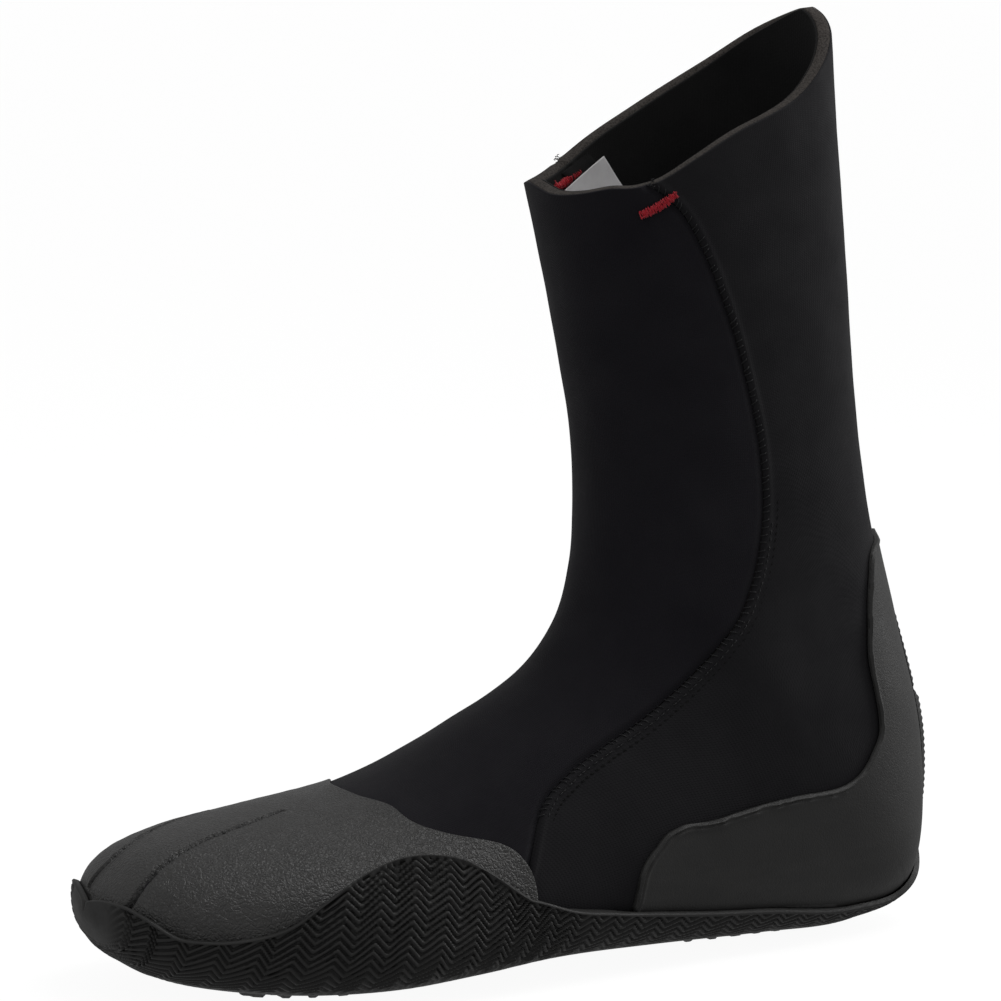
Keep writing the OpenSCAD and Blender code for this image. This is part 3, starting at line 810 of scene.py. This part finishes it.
# Zigzag columns along the outsole's side: station and number of the column's peak
COLUMNS = [[0, -4], [0.4, -3], [0.85, -2], [1.4, -1], [2, 0], [2.68, 1], [3.25, 2], [3.68, 3], [4.16, 4],
           [4.6, 5], [5.02, 6], [5.44, 7], [5.84, 8], [6.2, 9], [6.48, 10], [7, 12], [10.75, 27], [11.45, 30]]


def ridge(phase):
    """Flat-topped ridge, 1 on the ridge and 0 in the gap, once per unit of phase."""
    width = 0.54
    wave = 0.5 + 0.5 * np.cos(2 * np.pi * phase)
    return smooth((wave - (1 - width)) / 0.42 + 0.5)


def outsole_grid():
    t = np.concatenate([np.linspace(0, 1.5, 56)[:-1], np.linspace(1.5, 7, 290)[:-1],
                        np.linspace(7, 10, 170)[:-1], np.linspace(10, RAND_END_T - 0.02, 50)])[:, None]
    top_edge = curve(RAND_EDGE, t)
    under = np.maximum(np.minimum(curve(SOLE_EDGE, t) + 14, 180), top_edge + 0.5 * (180 - top_edge))
    side = top_edge + (under - top_edge) * np.linspace(0, 1, 105)[None, :]
    bottom = under + (180 - under) * np.linspace(0, 1, 16)[None, 1:]
    a = np.concatenate([side, bottom], 1)
    a = np.concatenate([a, 360 - a[:, -2::-1]], 1)
    return np.broadcast_to(t, a.shape), a


def outsole_piece():
    t, a = outsole_grid()
    half = a.shape[1] // 2 + 1
    turn = np.abs(turn_of(a))
    p = lift(t, a, 3.9)
    facing_up = (lift(t, a, 4.9) - p)[..., 2]
    # both sides are alike, so heights are worked out on one and mirrored
    one = p[:, :half]
    down = np.zeros(one.shape[:2])
    down[:, 1:] = np.cumsum(np.linalg.norm(np.diff(one, axis=1), axis=-1), 1)
    edge = line_points([[x, curve(RAND_EDGE, x)] for x in np.linspace(0, RAND_END_T - 0.02, 161)], 1500, 3.9)
    h = near(one, edge)
    rim_z = one[:, :1, 2]
    t1 = t[:, :half]
    level = smooth((t1 - 1.6) / 0.8) * smooth((7.0 - t1) / 0.6)
    height = level * (rim_z - down) + (1 - level) * (25.6 - h)
    where = curve(COLUMNS, t1 + 0.011 * (26 - np.clip(rim_z - down, 5, 50)))
    f = where % 1.0
    valley = 0.30 + 0.13 * smooth((t1 - 2.2) / 2.0)
    zig = np.where(f < valley, f / valley, (1 - f) / (1 - valley))
    amp = 4.6 - 1.4 * smooth((t1 - 6.4) / 0.8)
    lines = ridge((height + amp * zig) / 2.35)
    field = smooth((h - 0.7) / 0.5) * smooth((facing_up[:, :half] + 0.97) / 0.16) * smooth((11.2 - t1) / 0.3)
    field = field * smooth((t1 - 0.45) / 0.5)
    ripple = 0.55 * zig * field * (1 - smooth((t1 - 6.6) / 0.6))
    carved = 0.85 * field * (1 - lines) + ripple
    lip = 0.12 * (1 - smooth((h - 0.7) / 0.4))

    def both(v):
        return np.concatenate([v, v[:, -2::-1]], 1)

    # wavy tread bars under the ball and heel, reaching the floor but not the side
    x, y = p[..., 0], p[..., 1]
    wave = np.abs((x / 11.2) % 1.0 * 2 - 1) * 3 - 1.5
    bars = np.zeros(t.shape)
    for y0, n in ((-93, 8), (59, 7)):
        for i in range(n):
            bars = np.maximum(bars, smooth((2.0 - np.abs(y - (y0 + 9 * i) - wave)) / 0.8))
    inset = np.ptp(x, axis=1)[:, None] / 2 - np.abs(x - (x.max(1) + x.min(1))[:, None] / 2)
    bars *= smooth((inset - 21) / 4) * np.clip(p[..., 2] - BASE[2], 0, 1.7)
    top = 3.9 + both(lip - carved - drop(h, 0.8)) + bars
    waist = smooth((t - 6.9) / 0.2) * smooth((7.7 - t) / 0.2) * smooth((curve(SOLE_EDGE, t) - turn) / 6)
    # painted shade in the gaps between the zigzag ridges on the outsole's side, over the same field as the
    # carving
    shade = both(0.55 * field * (1 - lines))
    sole = shell("rubber_outsole", t, a, 2.1 - 1.9 * waist, top, nose=True, sharp=60, shade=shade)
    return finish_piece(sole, SOLE_RUBBER, "sole_rubber", "outsole")


toe_cap_piece()
heel_cap_piece()
kick_pad_piece()
outsole_piece()


# ---------------------------------------------------------------- thread


class SeamFrame:
    """Places along a side seam: s runs up the seam, x towards the back panel, z off the skin."""

    def __init__(self, side, first=6.95, last=15.93):
        t = np.linspace(first, last, 1600)
        a = curve(SEAM_EDGE, t)
        self.p = lift(t, side * a, 0.0)
        self.n = lift(t, side * a, 1.0) - self.p
        self.n /= np.linalg.norm(self.n, axis=1, keepdims=True)
        back = lift(t, side * (a + 1.5), 0.0) - self.p
        self.t = np.gradient(self.p, axis=0)
        self.t /= np.linalg.norm(self.t, axis=1, keepdims=True)
        back -= self.t * (back * self.t).sum(1, keepdims=True)
        self.b = back / np.linalg.norm(back, axis=1, keepdims=True)
        self.s = np.concatenate([[0], np.cumsum(np.linalg.norm(np.diff(self.p, axis=0), axis=1))])
        self.station = t
        self.wave = sway(self.p)

    def at(self, s, x, z):
        """Point at distance s along the seam, x behind it and z above the panels."""
        s, x, z = np.broadcast_arrays(*(np.asarray(v, float) for v in (s, x, z)))
        pick = [np.stack([np.interp(s, self.s, m[:, k]) for k in range(3)], -1)
                for m in (self.p, self.b, self.n)]
        wave = np.interp(s, self.s, self.wave)
        return pick[0] + pick[1] * x[..., None] + pick[2] * (z + wave - x * x / 75)[..., None]


def smooth_path(points, n):
    """More points along a smooth path through a few."""
    p = np.asarray(points, float)
    x = np.linspace(0, 1, len(p))
    return np.stack([curve(np.stack([x, p[:, k]], -1), np.linspace(0, 1, n)) for k in range(3)], -1)


def seam_stitches(name, side, node):
    seam = SeamFrame(side)
    rng = np.random.default_rng(40 + side)
    pitch = 2.3
    paths, count = [], int(seam.s[-1] / pitch)
    for i in range(count):
        s0 = 1.2 + pitch * i + rng.uniform(-0.5, 0.5)
        slant, reach, high = rng.uniform(0.2, 1.3), rng.uniform(1.0, 1.7), rng.uniform(0.38, 0.54)
        x = np.array([-0.5, -0.2, 0.25, 0.7, reach - 0.3, reach, reach + 0.12])
        z = np.array([-0.75, -0.45, 0.0, high - 0.05, high, high - 0.2, high - 0.6])
        paths.append(smooth_path(seam.at(s0 + slant * (x - 0.5) * 0.6, x, z), 15))
        if seam.station[min(int(len(seam.s) * s0 / seam.s[-1]), len(seam.s) - 1)] < 11.6:
            # a lighter second row of loops on the outside, below the ankle
            run = np.linspace(0, 1, 5)
            paths.append(smooth_path(seam.at(s0 + 0.2 + 1.5 * run, 2.55 + 0.12 * np.sin(run * 3),
                                             0.25 + 0.22 * np.sin(np.pi * run)), 9))
    ob = finish_piece(join_tubes(name, paths, 0.18), SEAM_THREAD, "seam_thread", node)
    ticks = []
    for i in range(count):
        s0 = 1.9 + pitch * i + rng.uniform(-0.15, 0.15)
        if seam.station[min(int(len(seam.s) * s0 / seam.s[-1]), len(seam.s) - 1)] > 11.9:
            break
        run = np.linspace(-0.75, 0.75, 5)
        arch = 0.02 + 0.14 * (1 - (run / 0.75) ** 2)
        ticks.append(smooth_path(seam.at(s0 + run, 4.6 + 0.25 * run, arch), 9))
    finish_piece(join_tubes(name + "_needle_marks", ticks, 0.26, squash=0.7), DARK_THREAD, "seam_thread")
    return ob


seam_stitches("lateral_thread", 1, "lateral_seam_stitches")
seam_stitches("medial_thread", -1, "medial_seam_stitches")


def bar_tack(name, side, first, last, node):
    """Dense zigzag of red thread through the whole wall, with a few loose ends."""
    rng = np.random.default_rng(70 + side)
    paths = []
    for depth, outward in ((0.55, 1), (-5.7, -1)):
        w = np.linspace(0, 1, 60)
        t = first[0] + (last[0] - first[0]) * w
        a = side * (first[1] + (last[1] - first[1]) * w)
        line = lift(t, a, depth)
        normal = (lift(t, a, depth + 1) - line) * outward
        normal /= np.linalg.norm(normal, axis=1, keepdims=True)
        along = np.gradient(line, axis=0)
        along /= np.linalg.norm(along, axis=1, keepdims=True)
        cross = np.cross(normal, along)
        s = np.concatenate([[0], np.cumsum(np.linalg.norm(np.diff(line, axis=0), axis=1))])

        def at(q, x, z):
            pick = [np.array([np.interp(q, s, m[:, k]) for k in range(3)]) for m in (line, cross, normal)]
            return pick[0] + pick[1] * x + pick[2] * z

        step = 0.34
        for layer in range(2):
            for i in range(int(s[-1] / step)):
                q = step * (i + 0.5 * layer)
                lean = 0.30 if (i + layer) % 2 else -0.30
                half = 1.2 + rng.uniform(-0.38, 0.38)
                lifted = 0.18 + 0.18 * layer + rng.uniform(-0.08, 0.16)
                shift = rng.uniform(-0.22, 0.22)
                knots = [at(q + lean * k * 0.5 + shift, half * k,
                            lifted * (1 - 0.75 * abs(k) ** 3) - 0.12 * abs(k))
                         for k in (-1.04, -0.7, 0, 0.7, 1.04)]
                paths.append(smooth_path(knots, 11))
        for i in range(7):
            q = rng.uniform(0, s[-1]) if i > 3 else (0.3 if i % 2 else s[-1] - 0.3)
            x0 = rng.uniform(-1.0, 1.0)
            far = 1 if q > s[-1] / 2 else -1
            reach, curl = rng.uniform(0.8, 2.4), rng.uniform(-1.3, 1.3)
            knots = [at(q, x0, 0.3), at(q + far * 0.4 * reach, x0 + 0.3 * curl, 0.65),
                     at(q + far * 0.8 * reach, x0 + 0.8 * curl, 0.75),
                     at(q + far * reach, x0 + 1.5 * curl, 0.5)]
            paths.append(smooth_path(knots, 14))
    return finish_piece(join_tubes(name, paths, 0.17, sides=6), RED_THREAD, "red_thread", node)


bar_tack("lateral_red_tack", 1, (15.68, 52.5), (15.775, 66), "lateral_bar_tack")
bar_tack("medial_red_tack", -1, (15.785, 44), (15.77, 62), "medial_bar_tack")


def rim_fray():
    """A few short loose threads where each side seam reaches the cut collar."""
    rng = np.random.default_rng(91)
    paths = []
    for side in (1, -1):
        seam = SeamFrame(side, 15.6, 15.985)
        for _ in range(9):
            s0 = seam.s[-1] - rng.uniform(0.0, 1.8)
            x0, lean = rng.uniform(-1.2, 2.2), rng.uniform(-1.2, 1.2)
            up, out = rng.uniform(0.3, 1.3), rng.uniform(0.1, 0.8)
            knots = [seam.at(s0 - 0.8, x0, 0.1), seam.at(s0, x0 + 0.2 * lean, 0.3 + 0.4 * out),
                     seam.at(s0, x0 + 0.6 * lean, 0.4 + out), seam.at(s0 - 0.5 * up, x0 + lean, 0.4 + out)]
            paths.append(smooth_path(knots, 10))
    return finish_piece(join_tubes("collar_loose_threads", paths, 0.12), SEAM_THREAD, "seam_thread")


rim_fray()


# ---------------------------------------------------------------- care label

joint = frame["joints"][0]
HINGE = np.array(joint["pos_m"])
LABEL_UP = -np.array(joint["axis"])
LABEL_UP /= np.linalg.norm(LABEL_UP)
LABEL_BACK = np.array([-0.19960, 0.81836, 0.53892])
LABEL_IN = np.cross(LABEL_BACK, LABEL_UP)
LABEL_WIDTH, LABEL_LEAF, LABEL_THICK = 0.022, 0.021, 0.00026


def care_label():
    """Satin strip folded once, sewn along one edge; both leaves and the fold curve a little."""
    leaf = np.linspace(0, 1, 34)
    bend = np.linspace(-math.pi / 2, math.pi / 2, 9)[1:-1]
    gap = 0.00030
    flat_len = LABEL_LEAF - gap / 2
    first = np.stack([0.00015 + 0 * leaf, leaf * flat_len], -1)
    fold = np.stack([0.00015 + gap * (1 + np.sin(bend)) / 2, flat_len + gap / 2 * np.cos(bend)], -1)
    second = np.stack([0.00015 + gap + 0 * leaf, leaf[::-1] * flat_len], -1)
    centre = np.concatenate([first, fold, second])
    direction = np.gradient(centre, axis=0)
    direction /= np.linalg.norm(direction, axis=1, keepdims=True)
    outward = np.stack([-direction[:, 1], direction[:, 0]], -1)
    width = np.linspace(0, 1, 25)
    points, uv = [], []
    run = np.concatenate([[0], np.cumsum(np.linalg.norm(np.diff(centre, axis=0), axis=1))])
    for face in (1, -1):
        for k, c in enumerate(centre):
            q = c + outward[k] * LABEL_THICK / 2 * face
            y = q[1] / LABEL_LEAF
            for w in width:
                bow = (0.0006 * math.sin(math.pi * w) * y + 0.0005 * y * y
                       + 0.00018 * math.sin(9 * w + 5 * y) * y)
                open_leaf = 0.0005 * y * y if k < len(leaf) + 3 else 0.0
                down = w * LABEL_WIDTH
                points.append(HINGE + LABEL_IN * (q[0] + bow - open_leaf * 0.3) + LABEL_BACK * q[1]
                              - LABEL_UP * (LABEL_WIDTH - down))
                uv.append([run[k] * 1000, down * 1000])
    rows, cols = len(centre), len(width)
    per = rows * cols
    faces = []
    for i in range(rows - 1):
        for j in range(cols - 1):
            v = i * cols + j
            faces.append((v, v + 1, v + cols + 1, v + cols))
            faces.append((per + v, per + v + cols, per + v + cols + 1, per + v + 1))
        for j in (0, cols - 1):
            v = i * cols + j
            wall = (v, v + cols, per + v + cols, per + v)
            faces.append(wall if j == 0 else (v, *wall[:0:-1]))
    for i in (0, rows - 1):
        for j in range(cols - 1):
            v = i * cols + j
            faces.append((v, per + v, per + v + 1, v + 1) if i == 0 else (v, v + 1, per + v + 1, per + v))
    ob = make_mesh("folded_care_label", points, faces, body="label", uv=uv, sharp=60, merge=1e-7)
    return finish_piece(ob, LABEL_SATIN, "label_satin", "care_label")


care_label()


# ---------------------------------------------------------------- floor, light and camera

floor_mesh = bpy.data.meshes.new("studio_floor")
floor_mesh.from_pydata([(-8, -8, -0.0002), (8, -8, -0.0002), (8, 8, -0.0002), (-8, 8, -0.0002)], [],
                       [(0, 1, 2, 3)])
floor = bpy.data.objects.new("studio_floor", floor_mesh)
bpy.context.scene.collection.objects.link(floor)
floor_look = bpy.data.materials.new("pale_floor")
floor_look.use_nodes = True
floor_bsdf = floor_look.node_tree.nodes["Principled BSDF"]
floor_bsdf.inputs["Base Color"].default_value = (0.12, 0.12, 0.12, 1)
floor_bsdf.inputs["Roughness"].default_value = 0.9
floor_bsdf.inputs["Specular IOR Level"].default_value = 0.1
floor_bsdf.inputs["Emission Color"].default_value = (1, 1, 1, 1)
floor_bsdf.inputs["Emission Strength"].default_value = 0.94
floor_mesh.materials.append(floor_look)
# lit paper: it shows white behind the boot and adds no light of its own to it
floor.visible_diffuse = False
floor.visible_glossy = False

# plain display curve, so that the white paper ground stays white and black rubber black
bpy.context.scene.view_settings.view_transform = "Standard"
world = bpy.data.worlds.new("studio")
bpy.context.scene.world = world
world.use_nodes = True
world.node_tree.nodes["Background"].inputs["Color"].default_value = (1, 1, 1, 1)
world.node_tree.nodes["Background"].inputs["Strength"].default_value = 0.32


def softbox(name, power, width, height, position, target):
    lamp = bpy.data.lights.new(name, "AREA")
    lamp.shape = "RECTANGLE"
    lamp.size, lamp.size_y, lamp.energy = width, height, power
    ob = bpy.data.objects.new(name, lamp)
    ob.location = position
    ob.rotation_euler = (Vector(target) - Vector(position)).to_track_quat("-Z", "Y").to_euler()
    bpy.context.scene.collection.objects.link(ob)
    return ob


AZIMUTH, ELEVATION, DISTANCE = math.radians(64), math.radians(8), 1.5
TARGET = Vector((0.000476, -0.006429, 0.144124))
BACK = Vector((math.sin(AZIMUTH) * math.cos(ELEVATION), -math.cos(AZIMUTH) * math.cos(ELEVATION),
               math.sin(ELEVATION)))
SIDE = Vector((math.cos(AZIMUTH), math.sin(AZIMUTH), 0))
UP = Vector((0, 0, 1))
softbox("overhead", 6.0, 0.8, 0.8, TARGET + UP * 1.1 + SIDE * 0.42 - BACK * 0.1, TARGET)
softbox("key_left", 1.8, 0.5, 0.9, TARGET + BACK * 0.9 - SIDE * 0.9 + UP * 0.7, TARGET)
softbox("rim_right", 4.2, 0.35, 1.0, TARGET - BACK * 0.35 + SIDE * 1.0 + UP * 0.45, TARGET)

camera_data = bpy.data.cameras.new("camera")
camera = bpy.data.objects.new("camera", camera_data)
bpy.context.scene.collection.objects.link(camera)
camera.location = TARGET + BACK * DISTANCE
camera.rotation_euler = (-BACK).to_track_quat("-Z", "Y").to_euler()
camera_data.sensor_width = 36
camera_data.lens = 174.8
camera_data.clip_start, camera_data.clip_end = 0.05, 50
bpy.context.scene.camera = camera
